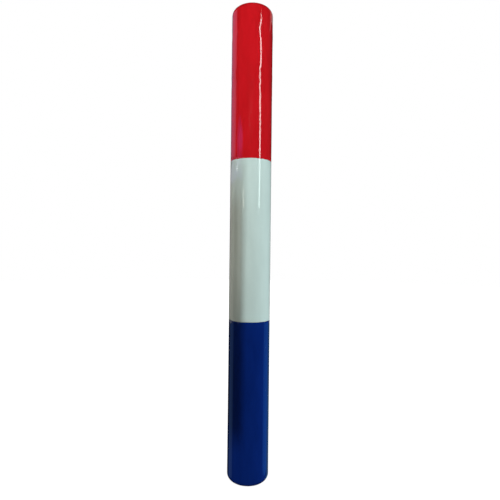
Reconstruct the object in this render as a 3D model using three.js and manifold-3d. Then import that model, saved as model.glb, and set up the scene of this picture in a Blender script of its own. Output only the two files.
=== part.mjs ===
// A straight juggling club: a smooth round stick with a blue, a white and a red band of about equal length.
//
// Two closed end shells and a plain middle tube, all hollow plastic, stand end to end around a wooden core rod.
// A ribbed joint ring inside each butt joint lines up the two shells and centres them on the rod.
// At each end a wood screw and a washer pull the shell's floor towards the rod, and a small plug covers the screw.
//
// Millimetres. +Z runs up the club from the blue end to the red end. The origin is the middle of the bottom face.

import * as THREE from "three";
import { mergeVertices } from "three/addons/utils/BufferGeometryUtils.js";
import Module from "manifold-3d";

const wasm = await Module();
wasm.setup();

// ---- Driving dimensions ----

const CLUB_LENGTH = 456;
const CLUB_RADIUS = 20;
const BAND_LENGTH = 153.8; // the blue and the white band; the red band is what remains
const EDGE_RADIUS = 5.4; // the rounding between each end face and the side
const WALL = 1.8;
const END_WALL = 3;
const JOINT_BEVEL = 0.15; // a fine bevel on each joint edge
const GLUE_LINE = 0.1; // between two shells in a butt joint, and between a shell and a joint ring

const DOWEL_RADIUS = 9;
const DOWEL_CHAMFER = 0.8;
const DOWEL_CLEARANCE = 0.15; // around the rod, in its sockets and in the joint rings
const DOWEL_END_GAP = 0.5; // lets the screws clamp the shells together before the rod's ends bottom out

const SOCKET_WALL = 2.25;
const SOCKET_DEPTH = 15;
const SOCKET_LEAD_IN = 0.6;
const RIB_COUNT = 6;
const RIB_THICKNESS = 1.4;
const RIB_TOP = 16; // how far the ribs reach in from the end face

const PLUG_RADIUS = 8;
const PLUG_CLEARANCE = 0.15;
const PLUG_RECESS = 0.2; // the plug sits this far below the end face, so the club stands on its shell
const PLUG_THICKNESS = 1.6;
const PLUG_SKIRT = 2.6;
const PLUG_SKIRT_WALL = 1;
const PLUG_CHAMFER = 0.3;

const HEAD_ROOM = 0.4; // between the plug and the screw head
const HEAD_RADIUS = 4;
const HEAD_HEIGHT = 2.8;
const HEAD_DOME = 1.9;
const RECESS_WIDTH = 1.1;
const RECESS_LENGTH = 4.6;
const RECESS_DEPTH = 1.8;
const SHANK_RADIUS = 1.7;
const SHANK_LENGTH = 30;
const SHANK_TIP = 4;
const PILOT_RADIUS = 1.85;
const PILOT_DEPTH = 28;
const PILOT_CONE = 1.5;

const WASHER_RADIUS = 7;
const WASHER_HOLE_RADIUS = 2.2;
const WASHER_THICKNESS = 1.2;
const WASHER_CHAMFER = 0.15;
const CLAMP_GAP = 0.05; // between clamped faces: head to washer, and washer to shell floor
const FLOOR_THICKNESS = 2.5; // the shell floor that the washer pulls on
const FLOOR_HOLE_RADIUS = 2.3;

const RING_HALF_LENGTH = 12;
const RING_WALL = 1.6;
const RING_CHAMFER = 0.5;
const HUB_HALF_LENGTH = 8;
const HUB_WALL = 2.25;
const SPOKE_THICKNESS = 1.6;

const WIDE_SEGMENTS = 48; // facets around the shells, the rod and the rings
const SMALL_SEGMENTS = 24; // facets around the screws
const ARC_STEPS = 6;
const EMBED = 0.6; // how far a rib or spoke runs into the walls that it joins

// ---- Sizes that follow from them ----

const BORE_RADIUS = CLUB_RADIUS - WALL;
const SOCKET_RADIUS = DOWEL_RADIUS + DOWEL_CLEARANCE;
const SOCKET_OUTER_RADIUS = SOCKET_RADIUS + SOCKET_WALL;
const PLUG_SEAT_RADIUS = PLUG_RADIUS + PLUG_CLEARANCE;
const HUB_OUTER_RADIUS = SOCKET_RADIUS + HUB_WALL;
const RING_OUTER_RADIUS = BORE_RADIUS - GLUE_LINE;
const RING_INNER_RADIUS = RING_OUTER_RADIUS - RING_WALL;

// Heights at one end of the club, counted inwards from its end face.
const HEAD_TOP = PLUG_RECESS + PLUG_THICKNESS + HEAD_ROOM;
const HEAD_SEAT = HEAD_TOP + HEAD_HEIGHT;
const WASHER_TOP = HEAD_SEAT + CLAMP_GAP;
const WASHER_SEAT = WASHER_TOP + WASHER_THICKNESS;
const FLOOR_TOP = WASHER_SEAT + CLAMP_GAP;
const SOCKET_FLOOR = FLOOR_TOP + FLOOR_THICKNESS;
const DOWEL_END = SOCKET_FLOOR + DOWEL_END_GAP;

const LOWER_JOINT = BAND_LENGTH;
const UPPER_JOINT = 2 * BAND_LENGTH;
const RED_LENGTH = CLUB_LENGTH - UPPER_JOINT;

// ---- Shape helpers ----

// Points along an arc in a profile, as [radius from the axis, height] pairs.
function arc(centreRadius, centreHeight, arcRadius, fromDegrees, toDegrees) {
  return Array.from({ length: ARC_STEPS + 1 }, (_, step) => {
    const angle = THREE.MathUtils.degToRad(fromDegrees + ((toDegrees - fromDegrees) * step) / ARC_STEPS);
    return [centreRadius + arcRadius * Math.cos(angle), centreHeight + arcRadius * Math.sin(angle)];
  });
}

// Turns a profile around the Z axis. The profile runs up the outside of the piece.
// It starts and ends on the axis, or on its own first point.
function revolve(profile, segments = WIDE_SEGMENTS) {
  const points = profile.map(([radius, height]) => new THREE.Vector2(radius, height));
  return new THREE.LatheGeometry(points, segments).rotateX(Math.PI / 2);
}

// The same for a ring, whose profile closes on its own first point.
function revolveRing(profile, segments = WIDE_SEGMENTS) {
  return revolve([...profile, profile[0]], segments);
}

// A geometry as a solid that can be joined and cut.
function toSolid(geometry) {
  const bare = geometry.clone();
  bare.deleteAttribute("normal");
  bare.deleteAttribute("uv");
  const merged = mergeVertices(bare);
  const vertProperties = merged.attributes.position.array;
  const triVerts = new Uint32Array(merged.index.array);
  return new wasm.Manifold(new wasm.Mesh({ numProp: 3, vertProperties, triVerts }));
}

// A joined or cut solid as a geometry again.
function toGeometry(solid) {
  const { vertProperties, triVerts } = solid.getMesh();
  const geometry = new THREE.BufferGeometry();
  geometry.setAttribute("position", new THREE.BufferAttribute(vertProperties, 3));
  geometry.setIndex(new THREE.BufferAttribute(triVerts, 1));
  geometry.computeVertexNormals();
  return geometry;
}

// Joins a star of flat radial ribs to a solid.
function withRibs(solid, { count, thickness, fromRadius, toRadius, fromHeight, toHeight }) {
  const length = toRadius - fromRadius;
  const height = toHeight - fromHeight;
  for (let index = 0; index < count; index += 1) {
    const rib = new THREE.BoxGeometry(length, thickness, height);
    rib.translate((fromRadius + toRadius) / 2, 0, (fromHeight + toHeight) / 2);
    rib.rotateZ((2 * Math.PI * index) / count);
    solid = solid.add(toSolid(rib));
  }
  return solid;
}

// ---- The pieces ----
// Pieces at an end are drawn with the end face at height 0 and the inside of the club above it.

// A tube closed at its end face, with a seat for the plug and the screw, and a ribbed socket for the rod.
function endShell(length) {
  const innerArcRadius = EDGE_RADIUS - WALL;
  const arcCentre = CLUB_RADIUS - EDGE_RADIUS;
  const profile = [
    ...arc(arcCentre, EDGE_RADIUS, EDGE_RADIUS, -90, 0),
    [CLUB_RADIUS, length - JOINT_BEVEL],
    [CLUB_RADIUS - JOINT_BEVEL, length],
    [BORE_RADIUS, length],
    ...arc(arcCentre, END_WALL + innerArcRadius, innerArcRadius, 0, -90),
    [SOCKET_OUTER_RADIUS, END_WALL],
    [SOCKET_OUTER_RADIUS, SOCKET_FLOOR + SOCKET_DEPTH],
    [SOCKET_RADIUS + SOCKET_LEAD_IN, SOCKET_FLOOR + SOCKET_DEPTH],
    [SOCKET_RADIUS, SOCKET_FLOOR + SOCKET_DEPTH - SOCKET_LEAD_IN],
    [SOCKET_RADIUS, SOCKET_FLOOR],
    [FLOOR_HOLE_RADIUS, SOCKET_FLOOR],
    [FLOOR_HOLE_RADIUS, FLOOR_TOP],
    [PLUG_SEAT_RADIUS, FLOOR_TOP],
    [PLUG_SEAT_RADIUS, PLUG_CHAMFER],
    [PLUG_SEAT_RADIUS + PLUG_CHAMFER, 0],
  ];
  const ribs = {
    count: RIB_COUNT,
    thickness: RIB_THICKNESS,
    fromRadius: SOCKET_OUTER_RADIUS - EMBED,
    toRadius: BORE_RADIUS + EMBED / 2,
    fromHeight: END_WALL - EMBED,
    toHeight: RIB_TOP,
  };
  return toGeometry(withRibs(toSolid(revolveRing(profile)), ribs));
}

// A plain tube with a fine bevel on each outer edge.
function middleTube(length) {
  return revolveRing([
    [CLUB_RADIUS - JOINT_BEVEL, 0],
    [CLUB_RADIUS, JOINT_BEVEL],
    [CLUB_RADIUS, length - JOINT_BEVEL],
    [CLUB_RADIUS - JOINT_BEVEL, length],
    [BORE_RADIUS, length],
    [BORE_RADIUS, 0],
  ]);
}

// A sleeve inside a butt joint, a hub around the rod, and spokes between them, centred on height 0.
function jointRing() {
  const sleeve = revolveRing([
    [RING_OUTER_RADIUS - RING_CHAMFER, -RING_HALF_LENGTH],
    [RING_OUTER_RADIUS, RING_CHAMFER - RING_HALF_LENGTH],
    [RING_OUTER_RADIUS, RING_HALF_LENGTH - RING_CHAMFER],
    [RING_OUTER_RADIUS - RING_CHAMFER, RING_HALF_LENGTH],
    [RING_INNER_RADIUS, RING_HALF_LENGTH],
    [RING_INNER_RADIUS, -RING_HALF_LENGTH],
  ]);
  const hub = revolveRing([
    [HUB_OUTER_RADIUS, -HUB_HALF_LENGTH],
    [HUB_OUTER_RADIUS, HUB_HALF_LENGTH],
    [SOCKET_RADIUS, HUB_HALF_LENGTH],
    [SOCKET_RADIUS, -HUB_HALF_LENGTH],
  ]);
  const spokes = {
    count: RIB_COUNT,
    thickness: SPOKE_THICKNESS,
    fromRadius: HUB_OUTER_RADIUS - EMBED,
    toRadius: RING_INNER_RADIUS + EMBED,
    fromHeight: -HUB_HALF_LENGTH,
    toHeight: HUB_HALF_LENGTH,
  };
  return toGeometry(withRibs(toSolid(sleeve).add(toSolid(hub)), spokes));
}

// The wooden rod, with a drilled pilot hole in each end, from its lower end at height 0.
function coreDowel(length) {
  return revolve([
    [0, PILOT_DEPTH + PILOT_CONE],
    [PILOT_RADIUS, PILOT_DEPTH],
    [PILOT_RADIUS, 0],
    [DOWEL_RADIUS - DOWEL_CHAMFER, 0],
    [DOWEL_RADIUS, DOWEL_CHAMFER],
    [DOWEL_RADIUS, length - DOWEL_CHAMFER],
    [DOWEL_RADIUS - DOWEL_CHAMFER, length],
    [PILOT_RADIUS, length],
    [PILOT_RADIUS, length - PILOT_DEPTH],
    [0, length - PILOT_DEPTH - PILOT_CONE],
  ]);
}

// A domed wood screw with a cross recess. Its thread is left as a plain shank, clear of the pilot hole.
function woodScrew() {
  const dome = arc(0, 0, 1, -90, 0).map(([x, y]) => [HEAD_RADIUS * x, HEAD_TOP + HEAD_DOME * (1 + y)]);
  dome[0][0] = 0;
  const body = revolve(
    [
      ...dome,
      [HEAD_RADIUS, HEAD_SEAT],
      [SHANK_RADIUS, HEAD_SEAT],
      [SHANK_RADIUS, HEAD_SEAT + SHANK_LENGTH - SHANK_TIP],
      [0, HEAD_SEAT + SHANK_LENGTH],
    ],
    SMALL_SEGMENTS,
  );
  let screw = toSolid(body);
  for (const turn of [0, Math.PI / 2]) {
    const slot = new THREE.BoxGeometry(RECESS_LENGTH, RECESS_WIDTH, 2 * RECESS_DEPTH);
    slot.translate(0, 0, HEAD_TOP);
    slot.rotateZ(turn);
    screw = screw.subtract(toSolid(slot));
  }
  return toGeometry(screw);
}

// A flat steel washer.
function washer() {
  return revolveRing([
    [WASHER_RADIUS - WASHER_CHAMFER, WASHER_TOP],
    [WASHER_RADIUS, WASHER_TOP + WASHER_CHAMFER],
    [WASHER_RADIUS, WASHER_SEAT - WASHER_CHAMFER],
    [WASHER_RADIUS - WASHER_CHAMFER, WASHER_SEAT],
    [WASHER_HOLE_RADIUS, WASHER_SEAT],
    [WASHER_HOLE_RADIUS, WASHER_TOP],
  ]);
}

// A shallow cap that is pushed into the seat over the screw.
function coverPlug() {
  const underside = PLUG_RECESS + PLUG_THICKNESS;
  return revolve([
    [0, PLUG_RECESS],
    [PLUG_RADIUS - PLUG_CHAMFER, PLUG_RECESS],
    [PLUG_RADIUS, PLUG_RECESS + PLUG_CHAMFER],
    [PLUG_RADIUS, underside + PLUG_SKIRT],
    [PLUG_RADIUS - PLUG_SKIRT_WALL, underside + PLUG_SKIRT],
    [PLUG_RADIUS - PLUG_SKIRT_WALL, underside],
    [0, underside],
  ]);
}

// ---- Materials ----

function glossPlastic(color) {
  return new THREE.MeshStandardMaterial({ color, roughness: 0.14, metalness: 0 });
}

function matteMaterial(color) {
  return new THREE.MeshStandardMaterial({ color, roughness: 0.6, metalness: 0 });
}

function zincSteel() {
  return new THREE.MeshStandardMaterial({ color: 0xb9bcc0, roughness: 0.35, metalness: 1 });
}

const RED = 0xc4141c;
const WHITE = 0xe4efea;
const BLUE = 0x0a2a78;
const RING_GREY = 0xa9adb0;
const BEECH = 0xcfa878;

// ---- Assembly ----

function addPiece(parent, name, geometry, material, height = 0) {
  const mesh = new THREE.Mesh(geometry, material);
  mesh.name = name;
  mesh.position.z = height;
  parent.add(mesh);
}

// The shell at one end of the club, with the screw, washer and plug in it.
function endAssembly({ shellName, place, shellLength, color }) {
  const end = new THREE.Group();
  addPiece(end, shellName, endShell(shellLength), glossPlastic(color));
  addPiece(end, `${place}_screw`, woodScrew(), zincSteel());
  addPiece(end, `${place}_washer`, washer(), zincSteel());
  addPiece(end, `${place}_cover_plug`, coverPlug(), glossPlastic(color));
  return end;
}

const club = new THREE.Group();

club.add(
  endAssembly({
    shellName: "blue_end_shell",
    place: "bottom",
    shellLength: BAND_LENGTH - GLUE_LINE / 2,
    color: BLUE,
  }),
);

const topEnd = endAssembly({
  shellName: "red_end_shell",
  place: "top",
  shellLength: RED_LENGTH - GLUE_LINE / 2,
  color: RED,
});
topEnd.rotation.x = Math.PI;
topEnd.position.z = CLUB_LENGTH;
club.add(topEnd);

const middleLength = BAND_LENGTH - GLUE_LINE;
addPiece(club, "white_middle_tube", middleTube(middleLength), glossPlastic(WHITE), LOWER_JOINT + GLUE_LINE / 2);
addPiece(club, "lower_joint_ring", jointRing(), matteMaterial(RING_GREY), LOWER_JOINT);
addPiece(club, "upper_joint_ring", jointRing(), matteMaterial(RING_GREY), UPPER_JOINT);
addPiece(club, "core_dowel", coreDowel(CLUB_LENGTH - 2 * DOWEL_END), matteMaterial(BEECH), DOWEL_END);

export default club;
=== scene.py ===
"""The looks of a straight juggling club: blue, white and red gloss shells around a wooden core rod.

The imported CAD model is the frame. Every piece here is a finer mesh in the place of one CAD node.
Shapes are drawn in millimetres and become metres once, in add_mesh. A shape is a pair: points and faces.
Pieces at an end are drawn for the blue end, with the end face at height 0, and turned over for the red end.
"""
import math

import bpy
import numpy as np
from mathutils import Euler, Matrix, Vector


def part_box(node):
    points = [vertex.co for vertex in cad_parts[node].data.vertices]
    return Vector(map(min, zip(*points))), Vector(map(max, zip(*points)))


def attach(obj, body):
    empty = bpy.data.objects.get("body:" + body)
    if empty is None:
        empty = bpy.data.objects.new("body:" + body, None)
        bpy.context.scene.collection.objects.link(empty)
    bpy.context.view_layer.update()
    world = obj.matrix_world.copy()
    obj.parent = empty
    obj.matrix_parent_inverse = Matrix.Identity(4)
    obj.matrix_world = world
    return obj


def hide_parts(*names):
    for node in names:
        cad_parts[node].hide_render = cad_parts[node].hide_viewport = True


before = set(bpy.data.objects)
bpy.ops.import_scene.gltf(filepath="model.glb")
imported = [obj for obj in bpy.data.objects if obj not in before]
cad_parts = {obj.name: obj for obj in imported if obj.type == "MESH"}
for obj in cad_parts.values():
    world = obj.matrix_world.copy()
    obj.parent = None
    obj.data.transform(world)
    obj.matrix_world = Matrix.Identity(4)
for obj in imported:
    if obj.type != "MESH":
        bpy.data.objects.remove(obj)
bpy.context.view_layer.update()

MM = 0.001

# ---- Sizes, in millimetres. The frame gives each node's place and outer size. ----


def span(node):
    """The lowest and highest point of a CAD node along the club's axis."""
    low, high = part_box(node)
    return low.z / MM, high.z / MM


def outer_radius(node):
    """Half the width of a CAD node."""
    low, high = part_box(node)
    return (high.x - low.x) / 2 / MM


CLUB_LENGTH = span("red_end_shell")[1]
CLUB_RADIUS = outer_radius("blue_end_shell")
EDGE_RADIUS = 5.4  # the rounding between each end face and the side
WALL = 1.8
END_WALL = 3.0
BORE_RADIUS = CLUB_RADIUS - WALL
JOINT_ROUNDING = 0.25  # on the outer edges that meet in a joint between two colours

DOWEL_RADIUS = outer_radius("core_dowel")
DOWEL_CLEARANCE = 0.15
DOWEL_END_GAP = 0.5
DOWEL_ROUNDING = 0.8
PILOT_RADIUS = 1.85
PILOT_DEPTH = 28.0
PILOT_CONE = 1.5

PLUG_RADIUS = 8.0
PLUG_CLEARANCE = 0.15
PLUG_SEAT_RADIUS = PLUG_RADIUS + PLUG_CLEARANCE
PLUG_RECESS, PLUG_END = span("bottom_cover_plug")
PLUG_THICKNESS = 1.6
PLUG_SKIRT_WALL = 1.0
PLUG_RIM = 1.6  # the flat rim around the sunk middle of its face
PLUG_PANEL_DEPTH = 0.15
BEAD_INSET = 1.1  # from the end of the plug's skirt to the middle of its grip bead
BEAD_HALF_WIDTH = 0.3
BEAD_HEIGHT = 0.1

CLAMP_GAP = 0.05  # between clamped faces: head to washer, and washer to shell floor
WASHER_RADIUS = outer_radius("bottom_washer")
WASHER_HOLE_RADIUS = 2.2
WASHER_TOP, WASHER_SEAT = span("bottom_washer")
FLOOR_TOP = WASHER_SEAT + CLAMP_GAP
FLOOR_HOLE_RADIUS = 2.3

SOCKET_WALL = 2.25  # also the wall of the hub in a joint ring
SOCKET_DEPTH = 15
SOCKET_RADIUS = DOWEL_RADIUS + DOWEL_CLEARANCE
SOCKET_OUTER_RADIUS = SOCKET_RADIUS + SOCKET_WALL
SOCKET_FLOOR = span("core_dowel")[0] - DOWEL_END_GAP
SOCKET_TOP = SOCKET_FLOOR + SOCKET_DEPTH
RIB_COUNT = 6
RIB_THICKNESS = 1.4
RIB_TOP = 16.0

HEAD_TOP, SCREW_POINT = span("bottom_screw")
HEAD_SEAT = WASHER_TOP - CLAMP_GAP
HEAD_RADIUS = 4.0
HEAD_DOME = 1.9
HEAD_BEVEL = 0.15
NECK_RADIUS = 1.7
NECK_BEVEL = 0.2
NECK_TAPER = 1  # between the neck and the first turn of the thread
THREAD_START = HEAD_SEAT + 8
THREAD_PITCH = 1.8
THREAD_ROOT_RADIUS = 1.3
THREAD_HEIGHT = 0.65
THREAD_FLANK = 0.033, 0.253  # where a flank starts and ends, in turns from the middle of the crest
POINT_LENGTH = 5.0
RECESS_DEPTH = 1.8

RING_WALL = 1.6
RING_OUTER_RADIUS = outer_radius("lower_joint_ring")
RING_INNER_RADIUS = RING_OUTER_RADIUS - RING_WALL
HUB_HALF_LENGTH = 8.0
SPOKE_THICKNESS = 1.6
SPOKE_SETBACK = 0.02  # of the spokes' ends from the hub's ends

SEGMENTS = 192  # around the club
SMALL_SEGMENTS = 96  # around the rod, the washers and the plugs
THREAD_SEGMENTS = 32  # around a screw, and rings in one turn of its thread
SKIN_STEP = 1.0  # between rings along the outer skin
LARGE_ARC_STEPS = 14
SMALL_ARC_STEPS = 4  # for a rounding under 1 mm
SHARP_ANGLE = math.radians(35)  # faces that meet at more than this keep a sharp edge
EMBED = 0.5  # how far a rib or spoke runs into the walls that it joins

# ---- Shape helpers ----


def soften(corners):
    """A closed profile from (radius, height, rounding) corners. A rounding above 0 becomes an arc."""
    profile = []
    for index, (radius, height, rounding) in enumerate(corners):
        corner = np.array((radius, height))
        if rounding == 0:
            profile.append(tuple(corner))
            continue
        before = np.array(corners[index - 1][:2]) - corner
        after = np.array(corners[(index + 1) % len(corners)][:2]) - corner
        before = before / np.linalg.norm(before)
        after = after / np.linalg.norm(after)
        steps = SMALL_ARC_STEPS if rounding < 1 else LARGE_ARC_STEPS
        for turn in np.linspace(0, math.pi / 2, steps + 1):
            bend = before * (1 - math.sin(turn)) + after * (1 - math.cos(turn))
            profile.append(tuple(corner + rounding * bend))
    return profile


def divide(profile):
    """The same profile with extra points along its stretches on the club's outer skin."""
    tolerance = 0.001
    divided = []
    following = profile[1:] + profile[:1]
    for (radius, height), (next_radius, next_height) in zip(profile, following):
        divided.append((radius, height))
        on_skin = min(radius, next_radius) > CLUB_RADIUS - tolerance
        pieces = round(abs(next_height - height) / SKIN_STEP) if on_skin else 1
        for step in range(1, pieces):
            divided.append((radius, height + (next_height - height) * step / pieces))
    return divided


def turned(profile, segments=SEGMENTS, closed=True):
    """A profile turned around the Z axis. The profile runs up the outside of the piece.

    A radius can also be a list of radii, one for each segment. Each face is split along a right-hand thread.
    """
    angles = np.linspace(0, 2 * math.pi, segments, endpoint=False)
    points = []
    rings = []
    for radius, height in profile:
        first = len(points)
        radii = np.broadcast_to(radius, segments)
        if radii.max() == 0:
            points.append((0, 0, height))
            rings.append([first] * segments)
            continue
        points.extend((r * math.cos(a), r * math.sin(a), height) for r, a in zip(radii, angles))
        rings.append(list(range(first, first + segments)))
    faces = []
    following = rings[1:] + rings[:1] if closed else rings[1:]
    for lower, upper in zip(rings, following):
        for index in range(segments):
            after = (index + 1) % segments
            halves = (lower[index], lower[after], upper[after]), (lower[index], upper[after], upper[index])
            faces.extend(half for half in halves if len(set(half)) == 3)
    return np.array(points, float), faces


def extruded(outlines):
    """A solid that runs through closed outlines with the same number of points, and is flat at both ends."""
    count = len(outlines[0])
    points = np.concatenate([np.array(outline, float) for outline in outlines])
    faces = [tuple(reversed(range(count))), tuple(range(len(points) - count, len(points)))]
    for start in range(0, len(points) - count, count):
        for index in range(count):
            after = (index + 1) % count
            faces.append((start + index, start + after, start + count + after, start + count + index))
    return points, faces


def radial_bars(thickness, radii, heights, rounding=0.3):
    """Flat bars like spokes, as separate solids in one shape, between two radii and two heights."""
    low, high = heights
    half = thickness / 2
    corners = (-half, low), (half, low), (half, high), (-half, high)
    section = soften([(*corner, rounding) for corner in corners])
    shapes = []
    for turn in np.arange(RIB_COUNT) * 2 * math.pi / RIB_COUNT:
        outward = np.array((math.cos(turn), math.sin(turn), 0))
        across = np.array((-math.sin(turn), math.cos(turn), 0))
        up = np.array((0, 0, 1))
        outlines = [[radius * outward + y * across + z * up for y, z in section] for radius in radii]
        shapes.append(extruded(outlines))
    return gathered(shapes)


def gathered(shapes):
    """Several shapes as one."""
    points = []
    faces = []
    for shape_points, shape_faces in shapes:
        faces.extend(tuple(index + len(points) for index in face) for face in shape_faces)
        points.extend(shape_points)
    return np.array(points), faces


def turned_over(shape):
    """A shape drawn for the blue end, in its place at the red end."""
    points, faces = shape
    return points * (1, -1, -1) + (0, 0, CLUB_LENGTH), faces


# ---- Mesh helpers ----


def add_mesh(name, shape):
    """A mesh object, in metres, from a shape in millimetres."""
    points, faces = shape
    mesh = bpy.data.meshes.new(name)
    mesh.from_pydata([tuple(point) for point in points * MM], [], faces)
    mesh.validate()
    piece = bpy.data.objects.new(name, mesh)
    bpy.context.scene.collection.objects.link(piece)
    return piece


def combine(piece, shape, operation):
    """Joins a shape to a piece (UNION), or cuts it out (DIFFERENCE)."""
    tool = add_mesh("tool", shape)
    modifier = piece.modifiers.new("combine", "BOOLEAN")
    modifier.operation = operation
    modifier.object = tool
    modifier.solver = "EXACT"
    modifier.use_self = False
    result = bpy.data.meshes.new_from_object(piece.evaluated_get(bpy.context.evaluated_depsgraph_get()))
    piece.modifiers.clear()
    old = piece.data
    piece.data = result
    result.name = old.name
    bpy.data.meshes.remove(old)
    bpy.data.objects.remove(tool)


def finish_piece(piece, node, slot, *materials):
    """Smooths a piece between its sharp edges, and has it stand for a CAD node."""
    piece.data.shade_smooth()
    piece.data.set_sharp_from_angle(angle=SHARP_ANGLE)
    for material in materials:
        piece.data.materials.append(material)
    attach(piece, "root")
    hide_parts(node)


def leave_bare_inside(piece, in_red_end=False):
    """Gives the faces inside a shell or tube the piece's second material."""
    margin = 0.5
    for face in piece.data.polygons:
        centre = face.center / MM
        depth = CLUB_LENGTH - centre.z if in_red_end else centre.z
        inside = math.hypot(centre.x, centre.y) < BORE_RADIUS + margin and depth > margin
        face.material_index = int(inside)


# ---- Camera ----


def make_camera():
    """A level view of the standing club from close by, a little tilted to the left."""
    distance = 402
    height = 217.8
    pitch = math.radians(0.542)
    roll = math.radians(0.64)
    data = bpy.data.cameras.new("camera")
    data.lens = 29.5
    data.sensor_width = 36
    camera = bpy.data.objects.new("camera", data)
    camera.location = Vector((0, -distance, height)) * MM
    look = Euler((math.radians(90) + pitch, 0, 0)).to_matrix()
    camera.rotation_euler = (look @ Euler((0, 0, roll)).to_matrix()).to_euler()
    bpy.context.scene.collection.objects.link(camera)
    bpy.context.scene.camera = camera


make_camera()


# ---- Materials ----


def new_material(name):
    """A material, and functions that add a node to it and feed its Principled shader."""
    material = bpy.data.materials.new(name)
    material.use_nodes = True
    tree = material.node_tree
    shader = next(node for node in tree.nodes if node.type == "BSDF_PRINCIPLED")

    def fill(socket, value):
        if isinstance(value, bpy.types.NodeSocket):
            tree.links.new(value, socket)
        else:
            socket.default_value = value

    def add(kind, inputs=None, **settings):
        node = tree.nodes.new(kind)
        for key, value in settings.items():
            setattr(node, key, value)
        for key, value in (inputs or {}).items():
            fill(node.inputs[key], value)
        return node

    def feed(key, value):
        fill(shader.inputs[key], value)

    return material, add, feed


def noise(add, place, scale, detail=3.0, stretch=(1, 1, 1)):
    """Noise with a number of features per metre, drawn out along each axis with a small stretch value."""
    if stretch != (1, 1, 1):
        place = add("ShaderNodeMapping", {"Vector": place, "Scale": stretch}).outputs["Vector"]
    return add("ShaderNodeTexNoise", {"Vector": place, "Scale": scale, "Detail": detail}).outputs["Fac"]


def between(add, factor, low, high, start=0.3, end=0.7):
    """A number that goes from low to high as factor goes from start to end."""
    inputs = {"Value": factor, "From Min": start, "From Max": end, "To Min": low, "To Max": high}
    return add("ShaderNodeMapRange", inputs).outputs["Result"]


def tones(add, factor, dark, light, start=0.35, end=0.65):
    """A colour that goes from dark to light as factor goes from start to end."""
    ramp = add("ShaderNodeValToRGB", {"Fac": factor})
    ramp.color_ramp.elements[0].position = start
    ramp.color_ramp.elements[0].color = (*dark, 1)
    ramp.color_ramp.elements[1].position = end
    ramp.color_ramp.elements[1].color = (*light, 1)
    return ramp.outputs["Color"]


def stained(add, amount, colour, stain):
    """A colour with a stain over it, as strong as amount says."""
    inputs = {"Factor": amount, "A": colour, "B": (*stain, 1)}
    return add("ShaderNodeMix", inputs, data_type="RGBA").outputs["Result"]


def bump(add, height, depth_mm, below=None):
    """A normal from a height pattern of a given depth."""
    inputs = {"Height": height, "Strength": 1.0, "Distance": depth_mm * MM}
    if below is not None:
        inputs["Normal"] = below
    return add("ShaderNodeBump", inputs).outputs["Normal"]


def lacquer(name, dark, light, ripple):
    """Gloss lacquer: faint streaks in its colour, fine dust in the film, and ripples in its surface."""
    material, add, feed = new_material(name)
    place = add("ShaderNodeTexCoord").outputs["Object"]
    feed("Base Color", tones(add, noise(add, place, 110, detail=4, stretch=(1, 1, 0.25)), dark, light))
    feed("Roughness", between(add, noise(add, place, 420), 0.03, 0.07))
    feed("IOR", 1.5)
    feed("Coat Weight", 0.6)
    feed("Coat Roughness", 0.03)
    surface = bump(add, noise(add, place, 260, detail=2), ripple)
    feed("Normal", surface)
    feed("Coat Normal", surface)
    return material


def bare_plastic(name, dark, light):
    """Moulded plastic without lacquer: the same colour, matt, with faint flow lines along the mould."""
    material, add, feed = new_material(name)
    place = add("ShaderNodeTexCoord").outputs["Object"]
    feed("Base Color", tones(add, noise(add, place, 90, stretch=(1, 1, 0.15)), dark, light))
    feed("Roughness", between(add, noise(add, place, 700), 0.42, 0.58))
    flow = bump(add, noise(add, place, 500, stretch=(1, 1, 0.1)), 0.02)
    feed("Normal", bump(add, noise(add, place, 2600, detail=2), 0.006, flow))
    return material


def ring_plastic():
    """Grey moulded plastic with a fine spark-eroded grain."""
    material, add, feed = new_material("ring_plastic")
    place = add("ShaderNodeTexCoord").outputs["Object"]
    feed("Base Color", tones(add, noise(add, place, 150, detail=4), (0.37, 0.39, 0.40), (0.43, 0.45, 0.46)))
    feed("Roughness", between(add, noise(add, place, 1500), 0.48, 0.66))
    feed("Normal", bump(add, noise(add, place, 3000, detail=4), 0.02))
    return material


def beech():
    """Beech: soft bands of growth, long fibres and short dark flecks, all along the rod."""
    material, add, feed = new_material("beech_wood")
    place = add("ShaderNodeTexCoord").outputs["Object"]
    along = add("ShaderNodeMapping", {"Vector": place, "Scale": (1, 1, 0.06)}).outputs["Vector"]
    growth = add(
        "ShaderNodeTexWave",
        {"Vector": along, "Scale": 95.0, "Distortion": 3.5, "Detail": 3.0, "Detail Scale": 1.4},
        bands_direction="X",
        wave_profile="SIN",
    )
    fibres = noise(add, place, 2400, stretch=(1, 1, 0.025))
    flecks = noise(add, place, 1900, detail=1, stretch=(1, 1, 0.16))
    wood = tones(add, growth.outputs["Fac"], (0.50, 0.30, 0.155), (0.61, 0.40, 0.225), start=0.1, end=0.9)
    wood = stained(add, between(add, fibres, 0.0, 0.35), wood, (0.42, 0.24, 0.115))
    wood = stained(add, between(add, flecks, 0.0, 0.75, start=0.63, end=0.70), wood, (0.25, 0.12, 0.05))
    feed("Base Color", wood)
    feed("Roughness", between(add, fibres, 0.5, 0.68))
    feed("Normal", bump(add, flecks, 0.05, bump(add, fibres, 0.04)))
    return material


def zinc_steel():
    """Bright zinc plate on steel: slightly blue and yellow by turns, with fine scratches."""
    material, add, feed = new_material("zinc_steel")
    place = add("ShaderNodeTexCoord").outputs["Object"]
    feed("Metallic", 1.0)
    feed("Base Color", tones(add, noise(add, place, 300, detail=2), (0.52, 0.55, 0.60), (0.62, 0.61, 0.56)))
    feed("Roughness", between(add, noise(add, place, 1800), 0.22, 0.42))
    feed("Normal", bump(add, noise(add, place, 1200, stretch=(0.1, 1, 1)), 0.01))
    return material


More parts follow.
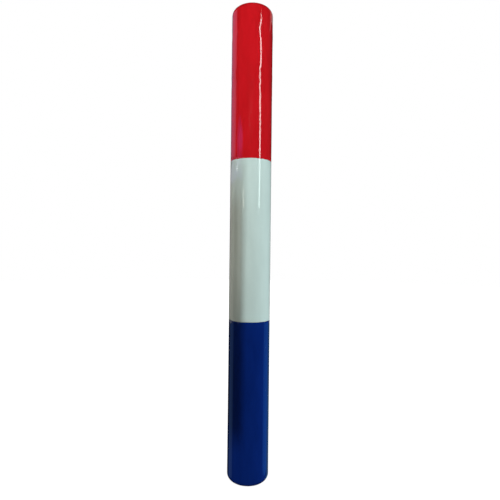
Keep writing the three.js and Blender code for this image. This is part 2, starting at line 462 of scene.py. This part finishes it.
# The darkest and the lightest tone of each colour.
RED = (0.71, 0.008, 0.013), (0.79, 0.010, 0.017)
WHITE = (0.77, 0.84, 0.81), (0.81, 0.88, 0.85)
BLUE = (0.002, 0.020, 0.185), (0.003, 0.024, 0.215)

RED_LACQUER = lacquer("red_lacquer", *RED, ripple=0.03)
WHITE_LACQUER = lacquer("white_lacquer", *WHITE, ripple=0.012)
BLUE_LACQUER = lacquer("blue_lacquer", *BLUE, ripple=0.004)
RED_INSIDE = bare_plastic("red_inside", *RED)
WHITE_INSIDE = bare_plastic("white_inside", *WHITE)
BLUE_INSIDE = bare_plastic("blue_inside", *BLUE)
RING_PLASTIC = ring_plastic()
BEECH = beech()
ZINC_STEEL = zinc_steel()


# ---- Shells and tube ----


def end_shell(length):
    """An end shell without its ribs: outer skin, closed end, plug seat, screw floor and rod socket."""
    profile = soften(
        [
            (PLUG_SEAT_RADIUS, 0, 0.3),
            (CLUB_RADIUS, 0, EDGE_RADIUS),
            (CLUB_RADIUS, length, JOINT_ROUNDING),
            (BORE_RADIUS, length, 0.3),
            (BORE_RADIUS, END_WALL, EDGE_RADIUS - WALL),
            (SOCKET_OUTER_RADIUS, END_WALL, 0.8),
            (SOCKET_OUTER_RADIUS, SOCKET_TOP, 0.4),
            (SOCKET_RADIUS, SOCKET_TOP, 0.6),
            (SOCKET_RADIUS, SOCKET_FLOOR, 0.3),
            (FLOOR_HOLE_RADIUS, SOCKET_FLOOR, 0.2),
            (FLOOR_HOLE_RADIUS, FLOOR_TOP, 0.2),
            (PLUG_SEAT_RADIUS, FLOOR_TOP, 0.3),
        ]
    )
    return turned(divide(profile))


def end_ribs():
    """The ribs between an end shell's socket and its wall."""
    radii = SOCKET_OUTER_RADIUS - EMBED, BORE_RADIUS + EMBED
    return radial_bars(RIB_THICKNESS, radii, (END_WALL - EMBED, RIB_TOP))


def press(points, sideways, height, depth, spread):
    """Presses a shallow dimple into the skin. Sideways goes from -1 at the left to 1 at the right."""
    angle = math.asin(sideways) - math.pi / 2
    centre = np.array((CLUB_RADIUS * math.cos(angle), CLUB_RADIUS * math.sin(angle), height))
    distance = np.linalg.norm(points - centre, axis=1)
    shrink = 1 - depth * np.exp(-((distance / spread) ** 2)) / CLUB_RADIUS
    points[:, :2] *= shrink[:, None]


# Sags in the red lacquer: height, reach up and down, waves around the club, depth,
# and the angle in degrees at which the sag turns the surface most.
RED_SAGS = (
    (430.5, 4.5, 9, 0.17, -68.5),
    (423, 4, 11, 0.08, -65),
    (405, 6, 8, -0.03, -65),
    (391, 3, 10, 0.13, -65),
    (384, 3, 9, 0.11, -65),
    (375, 4, 11, 0.08, -65),
    (362, 12, 7, 0.05, -65),
)


def sag(points):
    """Makes the red skin wavy, as brushed lacquer is after it has run a little."""
    skin_depth = 0.6
    x, y, z = points.T
    on_skin = np.hypot(x, y) > CLUB_RADIUS - skin_depth
    azimuths = np.degrees(np.arctan2(y, x))
    depth = np.zeros(len(points))
    for height, reach, waves, amount, angle in RED_SAGS:
        wave = np.sin(np.radians(waves * (azimuths - angle)))
        depth += amount * wave * np.exp(-(((z - height) / reach) ** 2))
    points[:, :2] *= 1 - (on_skin * depth / CLUB_RADIUS)[:, None]


def make_blue_shell():
    """The blue shell with its ribs."""
    piece = add_mesh("blue_shell", end_shell(span("blue_end_shell")[1]))
    combine(piece, end_ribs(), "UNION")
    finish_piece(piece, "blue_end_shell", "blue_gloss", BLUE_LACQUER, BLUE_INSIDE)
    leave_bare_inside(piece)


def make_red_shell():
    """The red shell with its ribs. Only its outer skin is wavy."""
    points, faces = turned_over(end_shell(CLUB_LENGTH - span("red_end_shell")[0]))
    sag(points)
    piece = add_mesh("red_shell", (points, faces))
    combine(piece, turned_over(end_ribs()), "UNION")
    finish_piece(piece, "red_end_shell", "red_gloss", RED_LACQUER, RED_INSIDE)
    leave_bare_inside(piece, in_red_end=True)


def make_white_tube():
    """The white tube, with one small dimple in its skin."""
    bottom, top = span("white_middle_tube")
    profile = soften(
        [
            (CLUB_RADIUS, bottom, JOINT_ROUNDING),
            (CLUB_RADIUS, top, JOINT_ROUNDING),
            (BORE_RADIUS, top, 0.3),
            (BORE_RADIUS, bottom, 0.3),
        ]
    )
    points, faces = turned(divide(profile))
    press(points, sideways=-0.56, height=299, depth=0.3, spread=1.1)
    piece = add_mesh("white_tube", (points, faces))
    finish_piece(piece, "white_middle_tube", "white_gloss", WHITE_LACQUER, WHITE_INSIDE)
    leave_bare_inside(piece)


# ---- Pieces inside ----


def cover_plug():
    """A shallow cap with a sunk middle on its face, and a bead around its skirt that grips the seat."""
    panel_radius = PLUG_RADIUS - PLUG_RIM
    panel = PLUG_RECESS + PLUG_PANEL_DEPTH
    skirt_radius = PLUG_RADIUS - PLUG_SKIRT_WALL
    underside = PLUG_RECESS + PLUG_THICKNESS
    bead = PLUG_END - BEAD_INSET
    profile = soften(
        [
            (0, panel, 0),
            (panel_radius, panel, 0.1),
            (panel_radius + 0.2, PLUG_RECESS, 0.1),
            (PLUG_RADIUS, PLUG_RECESS, 0.3),
            (PLUG_RADIUS, bead - BEAD_HALF_WIDTH, 0),
            (PLUG_RADIUS + BEAD_HEIGHT, bead, 0),
            (PLUG_RADIUS, bead + BEAD_HALF_WIDTH, 0),
            (PLUG_RADIUS, PLUG_END, 0.25),
            (skirt_radius, PLUG_END, 0.2),
            (skirt_radius, underside, 0.3),
            (0, underside, 0),
        ]
    )
    return turned(profile, SMALL_SEGMENTS, closed=False)


def washer():
    """A punched washer: rounded at the edge that met the die first, crisp at the other."""
    profile = soften(
        [
            (WASHER_HOLE_RADIUS, WASHER_TOP, 0.12),
            (WASHER_RADIUS, WASHER_TOP, 0.25),
            (WASHER_RADIUS, WASHER_SEAT, 0.06),
            (WASHER_HOLE_RADIUS, WASHER_SEAT, 0.2),
        ]
    )
    return turned(profile, SMALL_SEGMENTS)


def screw():
    """A domed wood screw: head, plain neck, and a right-hand thread down to the point."""
    dome = np.radians(np.linspace(0, 90, 12))
    profile = [(HEAD_RADIUS * math.sin(a), HEAD_TOP + HEAD_DOME * (1 - math.cos(a))) for a in dome]
    profile += [
        (HEAD_RADIUS, HEAD_SEAT - HEAD_BEVEL),
        (HEAD_RADIUS - HEAD_BEVEL, HEAD_SEAT),
        (NECK_RADIUS + NECK_BEVEL, HEAD_SEAT),
        (NECK_RADIUS, HEAD_SEAT + NECK_BEVEL),
        (NECK_RADIUS, THREAD_START - NECK_TAPER),
    ]
    turns = np.arange(THREAD_SEGMENTS) / THREAD_SEGMENTS
    for height in np.arange(THREAD_START, SCREW_POINT, THREAD_PITCH / THREAD_SEGMENTS):
        to_point = min(1, (SCREW_POINT - height) / POINT_LENGTH)
        started = min(1, (height - THREAD_START) / THREAD_PITCH)
        from_crest = np.abs((height / THREAD_PITCH - turns) % 1 - 0.5)
        thread = np.interp(from_crest, THREAD_FLANK, (1, 0)) * THREAD_HEIGHT * started
        profile.append(((THREAD_ROOT_RADIUS + thread) * math.sqrt(to_point), height))
    profile.append((0, SCREW_POINT))
    return turned(profile, THREAD_SEGMENTS, closed=False)


def cross_recess():
    """The shape that a cross-head driver leaves: four wings that narrow towards a blunt point."""
    levels = (-0.6, 2.5, 0.62), (0, 2.3, 0.55), (1.3, 1.2, 0.4), (RECESS_DEPTH, 0.3, 0.1)
    outlines = []
    for depth, reach, half_width in levels:
        wing = (reach, -half_width), (reach, half_width), (half_width, half_width)
        outline = []
        for cos, sin in ((1, 0), (0, 1), (-1, 0), (0, -1)):
            outline.extend((x * cos - y * sin, x * sin + y * cos, HEAD_TOP + depth) for x, y in wing)
        outlines.append(outline)
    return extruded(outlines)


def joint_sleeve(node):
    """The outer sleeve of a joint ring."""
    bottom, top = span(node)
    profile = [
        (RING_OUTER_RADIUS, bottom, 0.5),
        (RING_OUTER_RADIUS, top, 0.5),
        (RING_INNER_RADIUS, top, 0.3),
        (RING_INNER_RADIUS, bottom, 0.3),
    ]
    return turned(soften(profile))


def joint_hub(node):
    """The hub of a joint ring, around the rod."""
    middle = sum(span(node)) / 2
    profile = [
        (SOCKET_OUTER_RADIUS, middle - HUB_HALF_LENGTH, 0.3),
        (SOCKET_OUTER_RADIUS, middle + HUB_HALF_LENGTH, 0.3),
        (SOCKET_RADIUS, middle + HUB_HALF_LENGTH, 0.5),
        (SOCKET_RADIUS, middle - HUB_HALF_LENGTH, 0.5),
    ]
    return turned(soften(profile))


def joint_spokes(node):
    """The spokes between the hub and the sleeve, a little shorter than the hub."""
    middle = sum(span(node)) / 2
    half = HUB_HALF_LENGTH - SPOKE_SETBACK
    radii = SOCKET_OUTER_RADIUS - EMBED, RING_INNER_RADIUS + EMBED
    return radial_bars(SPOKE_THICKNESS, radii, (middle - half, middle + half))


def core_rod():
    """The wooden rod, with rounded edges and a drilled pilot hole in each end."""
    bottom, top = span("core_dowel")
    profile = soften(
        [
            (0, bottom + PILOT_DEPTH + PILOT_CONE, 0),
            (PILOT_RADIUS, bottom + PILOT_DEPTH, 0),
            (PILOT_RADIUS, bottom, 0.2),
            (DOWEL_RADIUS, bottom, DOWEL_ROUNDING),
            (DOWEL_RADIUS, top, DOWEL_ROUNDING),
            (PILOT_RADIUS, top, 0.2),
            (PILOT_RADIUS, top - PILOT_DEPTH, 0),
            (0, top - PILOT_DEPTH - PILOT_CONE, 0),
        ]
    )
    return turned(profile, SMALL_SEGMENTS, closed=False)


def make_end_pieces(place, colour, lacquer_material, put):
    """The plug, screw and washer at one end. Put sets a shape drawn for the blue end in its place."""
    plug = add_mesh(f"{place}_plug", put(cover_plug()))
    finish_piece(plug, f"{place}_cover_plug", f"{colour}_gloss", lacquer_material)
    fastener = add_mesh(f"{place}_wood_screw", put(screw()))
    combine(fastener, put(cross_recess()), "DIFFERENCE")
    finish_piece(fastener, f"{place}_screw", "zinc_steel", ZINC_STEEL)
    disc = add_mesh(f"{place}_flat_washer", put(washer()))
    finish_piece(disc, f"{place}_washer", "zinc_steel", ZINC_STEEL)


def make_joint_ring(node):
    """One joint ring: the sleeve, the spokes and the hub in one piece."""
    piece = add_mesh(node.replace("joint_ring", "ring"), joint_sleeve(node))
    combine(piece, joint_spokes(node), "UNION")
    combine(piece, joint_hub(node), "UNION")
    finish_piece(piece, node, "ring_plastic", RING_PLASTIC)


def make_core_rod():
    """The rod as a piece of beech."""
    finish_piece(add_mesh("core_rod", core_rod()), "core_dowel", "beech", BEECH)


make_blue_shell()
make_white_tube()
make_red_shell()
make_end_pieces("bottom", "blue", BLUE_LACQUER, put=lambda shape: shape)
make_end_pieces("top", "red", RED_LACQUER, put=turned_over)
make_joint_ring("lower_joint_ring")
make_joint_ring("upper_joint_ring")
make_core_rod()


# ---- Floor and surroundings ----


def make_floor():
    """A pale glowing disc, a little darker in the club's shadow, that turns white towards its rim."""
    profile = [(radius, 0) for radius in (3000, 2000, 1000, 500, 250, 120, 60, 0)]
    floor = add_mesh("floor", turned(profile, closed=False))
    material, add, feed = new_material("floor_pale")
    place = add("ShaderNodeTexCoord").outputs["Object"]
    feed("Base Color", tones(add, noise(add, place, 40), (0.86, 0.86, 0.86), (0.88, 0.88, 0.88)))
    feed("Roughness", 0.9)
    feed("Specular IOR Level", 0.1)
    distance = add("ShaderNodeVectorMath", {0: place}, operation="LENGTH").outputs["Value"]
    glow = add("ShaderNodeEmission", {"Color": (1, 1, 1, 1), "Strength": 1.2})
    mix = add("ShaderNodeMixShader", {"Fac": between(add, distance, low=0.82, high=1.0, start=0.02, end=0.4)})
    tree = material.node_tree
    shader = next(node for node in tree.nodes if node.type == "BSDF_PRINCIPLED")
    output = next(node for node in tree.nodes if node.type == "OUTPUT_MATERIAL")
    tree.links.new(shader.outputs["BSDF"], mix.inputs[1])
    tree.links.new(glow.outputs["Emission"], mix.inputs[2])
    tree.links.new(mix.outputs["Shader"], output.inputs["Surface"])
    floor.data.materials.append(material)
    floor.visible_glossy = False
    floor.visible_diffuse = False
    floor.visible_shadow = False


def make_world():
    """White behind the club, an even warm fill for its colour, and near black in its reflections."""
    world = bpy.data.worlds.new("studio")
    bpy.context.scene.world = world
    world.use_nodes = True
    tree = world.node_tree
    tree.nodes.clear()
    rays = tree.nodes.new("ShaderNodeLightPath")

    def background(colour):
        node = tree.nodes.new("ShaderNodeBackground")
        node.inputs["Color"].default_value = (*colour, 1)
        return node.outputs["Background"]

    def choose(ray, otherwise, then):
        node = tree.nodes.new("ShaderNodeMixShader")
        tree.links.new(rays.outputs[ray], node.inputs["Fac"])
        tree.links.new(otherwise, node.inputs[1])
        tree.links.new(then, node.inputs[2])
        return node.outputs["Shader"]

    lit = choose("Is Glossy Ray", background((0.045, 0.045, 0.04)), background((0.01, 0.01, 0.01)))
    seen = choose("Is Camera Ray", lit, background((1, 1, 1)))
    output = tree.nodes.new("ShaderNodeOutputWorld")
    tree.links.new(seen, output.inputs["Surface"])


def around(azimuth, distance, height):
    """A place around the club, in metres. Azimuth 0 is on the camera's side and 90 is to the right."""
    turn = math.radians(azimuth)
    return Vector((distance * math.sin(turn), -distance * math.cos(turn), height)) * MM


def make_shade_card():
    """A narrow black card that keeps the front light off the club's left side, except near its ends."""
    azimuth = -10
    near, far = 70, 71
    left, right, bottom, top = -34, -2.4, 48, 300
    turn = math.radians(azimuth)
    across = np.array((math.cos(turn), math.sin(turn), 0))
    up = np.array((0, 0, 1))
    corners = (left, bottom), (left, top), (right, top), (right, bottom)
    outlines = []
    for distance in (far, near):
        centre = np.array(around(azimuth, distance, 0)) / MM
        outlines.append([centre + x * across + z * up for x, z in corners])
    card = add_mesh("shade_card", extruded(outlines))
    material, _, feed = new_material("black_card")
    feed("Base Color", (0, 0, 0, 1))
    feed("Specular IOR Level", 0.0)
    card.data.materials.append(material)
    card.visible_camera = False
    card.visible_glossy = False


# ---- Lights ----

PLAIN = (1, 1, 1)
NEUTRAL = (0.84, 1.0, 0.99)
COOL = (0.80, 1.0, 1.02)
WARM = (1.05, 1.0, 0.84)
PINK = (0.64, 0.25, 0.44)
DULL_PINK = (0.35, 0.19, 0.32)
VIOLET = (0.05, 0.21, 1.0)
LAVENDER = (0.5, 0.5, 1.0)
SLATE = (0.05, 0.10, 0.20)
DEEP_BLUE = (0.02, 0.15, 0.50)
PALE_BLUE = (0.35, 1.0, 1.0)


def make_light(name, place, size, radiance, colour=PLAIN, aim=None, shape="RECTANGLE"):
    """A flat light that faces the club's axis, level or towards the height that it is aimed at.

    Place is azimuth, distance and height. Size is width and height. Radiance 1 is as bright as paper white.
    """
    data = bpy.data.lights.new(name, "AREA")
    data.shape = shape
    data.size = size[0] * MM
    data.size_y = size[1] * MM
    area = data.size * data.size_y * (math.pi / 4 if shape == "ELLIPSE" else 1)
    data.energy = radiance * math.pi * area
    data.color = colour
    light = bpy.data.objects.new(name, data)
    light.location = around(*place)
    target = Vector((0, 0, place[2] if aim is None else aim)) * MM
    light.rotation_euler = (target - light.location).to_track_quat("-Z", "Y").to_euler()
    light.visible_camera = False
    bpy.context.scene.collection.objects.link(light)
    return light


def colour_light(name, **settings):
    """A light that shades the club's colour, and doesn't show in its gloss."""
    make_light(name, **settings).visible_glossy = False


def gloss_light(name, **settings):
    """A light that only shows as a reflection in the club's gloss."""
    make_light(name, **settings).visible_diffuse = False


def oval_light(name, **settings):
    """An oval light that only shows as a reflection in the club's gloss."""
    gloss_light(name, shape="ELLIPSE", **settings)


def make_strip_light():
    """A tall strip at the right: its light, and the long thin highlight that it leaves in the gloss.

    The light for the colour stands behind the others. In the same plane, it would hide them.
    """
    colour_light("strip_colour", place=(49, 820, 617), size=(110, 550), radiance=6.2, colour=NEUTRAL)
    gloss_light("strip_low", place=(49, 800, 420), size=(110, 146), radiance=5.0, colour=NEUTRAL)
    gloss_light("strip_high", place=(49, 800, 690), size=(110, 394), radiance=8.0, colour=NEUTRAL)
    gloss_light("strip_tip", place=(49, 800, 899.5), size=(110, 5), radiance=8.0, colour=NEUTRAL)


def make_soft_lights():
    """Soft lights that shade the round of the club from all sides.

    The strip behind it also shows in the gloss, as a long highlight down the back.
    """
    colour_light("front", place=(-10, 1200, 180), size=(160, 540), radiance=17.0, colour=NEUTRAL)
    colour_light("top_front", place=(-5, 350, 470), size=(150, 100), radiance=11.4, colour=NEUTRAL, aim=430)
    colour_light("side_right", place=(90, 900, 250), size=(300, 900), radiance=1.3, colour=COOL)
    colour_light("back_right", place=(125, 900, 250), size=(300, 900), radiance=2.1, colour=COOL)
    colour_light("low_right", place=(100, 500, 40), size=(200, 200), radiance=10.0, colour=COOL)
    colour_light("left_fill", place=(-52, 150, 235), size=(70, 70), radiance=1.7, colour=WARM)
    colour_light("upper_left", place=(-65, 100, 460), size=(50, 50), radiance=1.5)
    colour_light("lower_left", place=(-35, 90, 5), size=(50, 50), radiance=0.7, colour=COOL)
    colour_light("side_left", place=(-100, 700, 320), size=(200, 300), radiance=3.0, colour=WARM)
    make_light("strip_back", place=(180, 800, 450), size=(110, 680), radiance=6.0)
    colour_light("fill_back", place=(180, 900, 250), size=(900, 600), radiance=0.6)


def make_rim_reflections():
    """Large dim surfaces beside and behind the club, which the gloss reflects along its edges."""
    gloss_light("rim_left_high", place=(-113, 900, 800), size=(540, 560), radiance=1.0, colour=PINK)
    gloss_light("rim_left_back", place=(-146, 900, 800), size=(500, 560), radiance=1.0, colour=DULL_PINK)
    gloss_light("rim_left_middle", place=(-125, 900, 250), size=(800, 500), radiance=0.3)
    gloss_light("rim_left_low", place=(-113, 900, -250), size=(540, 500), radiance=1.0, colour=SLATE)
    gloss_light("rim_right_blue", place=(107, 900, -230), size=(560, 480), radiance=1.0, colour=DEEP_BLUE)
    gloss_light("rim_right_middle", place=(150, 900, 250), size=(600, 500), radiance=0.18)
    gloss_light("rim_right_low", place=(145, 900, -250), size=(620, 500), radiance=0.1, colour=PALE_BLUE)
    gloss_light("rim_right_lowest", place=(145, 900, -500), size=(620, 400), radiance=0.25, colour=PALE_BLUE)
    gloss_light("rim_right_high", place=(140, 900, 1200), size=(700, 500), radiance=0.3)
    oval_light("rim_left_pale", place=(-122, 900, 473), size=(800, 70), radiance=0.5, colour=LAVENDER)


def make_glints():
    """Reflections at the club's left: violet ones low on the red, pale and small ones on the white."""
    oval_light("glint_violet", place=(-66, 600, 492), size=(440, 100), radiance=0.35, colour=VIOLET)
    oval_light("glint_core", place=(-62, 600, 492), size=(280, 56), radiance=0.4, colour=VIOLET)
    oval_light("glint_pale", place=(-76, 800, 461), size=(900, 50), radiance=1.1, colour=LAVENDER)
    oval_light("glint_tall", place=(-64, 800, 240), size=(260, 390), radiance=0.6, colour=WARM)
    gloss_light("glint_small", place=(-40, 800, 374), size=(55, 52), radiance=5.0, colour=WARM)
    gloss_light("glint_spot", place=(-79, 800, 465), size=(140, 8), radiance=9.0)


make_floor()
make_world()
make_shade_card()
make_strip_light()
make_soft_lights()
make_rim_reflections()
make_glints()
bpy.context.scene.view_settings.view_transform = "Standard"
